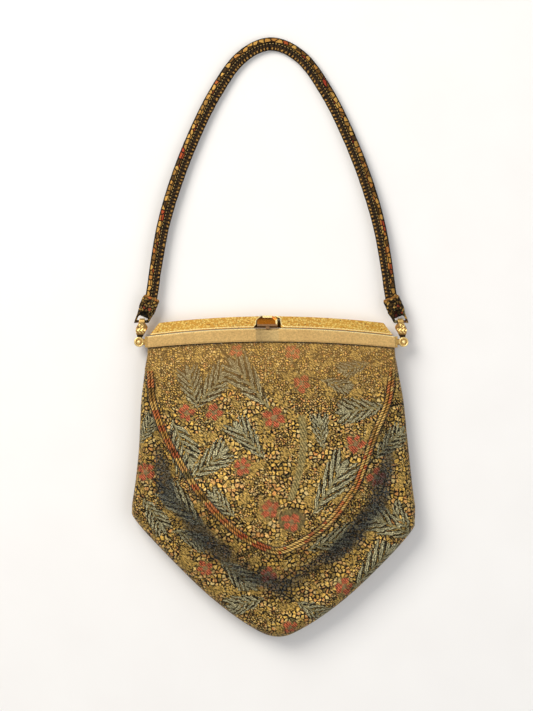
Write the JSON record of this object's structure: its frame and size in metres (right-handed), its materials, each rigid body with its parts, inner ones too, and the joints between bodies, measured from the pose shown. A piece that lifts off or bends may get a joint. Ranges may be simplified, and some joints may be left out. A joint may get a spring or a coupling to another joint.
{
  "type": "framed handbag",
  "caption": "Brocade evening bag with a metal frame, lever clasp, hinged mouth and a fixed-length top handle that swings on swivelling links",
  "frame": {"origin": "on the surface that the bag lies on, under the middle of the bag and its laid-out handle", "axes": "X along the metal frame, +Y from the bag towards the handle, +Z out of the bag's front"},
  "size_m": [0.2177, 0.4607, 0.0397],
  "materials": {
    "matte_gold": "matte, finely speckled",
    "bright_gold": "bright, with a fine irregular grain",
    "polished_brass": "polished",
    "antique_gold": "satin, darkened in its recesses",
    "spring_steel": "satin",
    "brocade": "metallic brocade of leaves and flowers",
    "dark_brocade": "metallic brocade of leaves and flowers, darker",
    "lining_cloth": "plain satin"
  },
  "bodies": {
    "root": {"back_band": "matte_gold", "back_arm_left": "matte_gold", "back_arm_right": "matte_gold", "top_plate": "bright_gold", "hinge_rivet_left": "polished_brass", "hinge_rivet_right": "polished_brass", "lug_rivet_left": "polished_brass", "lug_rivet_right": "polished_brass", "handle_lug_left": "antique_gold", "handle_lug_right": "antique_gold", "clasp_pin": "spring_steel", "clasp_spring": "spring_steel", "front_panel": "brocade", "back_flap": "brocade", "back_panel": "brocade", "piping_front_inner": "brocade", "piping_front_outer": "brocade", "piping_back_inner": "brocade", "piping_back_outer": "brocade", "gusset_front": "dark_brocade", "gusset_back": "dark_brocade", "lining": "lining_cloth"},
    "front_half": {"front_band": "matte_gold", "catch_plate": "matte_gold", "front_arm_left": "matte_gold", "front_arm_right": "matte_gold", "front_flap": "brocade"},
    "clasp": {"clasp_lever": "polished_brass"},
    "handle": {"handle_strap": "brocade", "handle_sleeve_left": "dark_brocade", "handle_sleeve_right": "dark_brocade"},
    "link_left": {"handle_link_left": "antique_gold"},
    "link_right": {"handle_link_right": "antique_gold"}
  },
  "joints": [
    {"name": "frame_open", "type": "hinge", "parent": "root", "child": "front_half", "pos_m": [0, -0.026, 0.0107], "axis": [1, 0, 0], "range_deg": [0, 70], "deforming": ["front_flap"]},
    {"name": "clasp_lift", "type": "hinge", "parent": "root", "child": "clasp", "pos_m": [-0.003, 0.01249, 0.013], "axis": [-1, 0, 0], "range_deg": [0, 35], "stiffness_Nm_per_rad": 0.002, "springref_deg": -11.46},
    {"name": "handle_swing", "type": "hinge", "parent": "root", "child": "handle", "pos_m": [0, 0.0116, 0.0102], "axis": [1, 0, 0], "range_deg": [-110, 110]},
    {"name": "link_swivel_left", "type": "hinge", "parent": "root", "child": "link_left", "pos_m": [-0.1014, -0.0041, 0.0102], "axis": [0, 0, 1], "range_deg": [-2, 2]},
    {"name": "link_swivel_right", "type": "hinge", "parent": "root", "child": "link_right", "pos_m": [0.1014, -0.0041, 0.0102], "axis": [0, 0, 1], "range_deg": [-2, 2]}
  ]
}
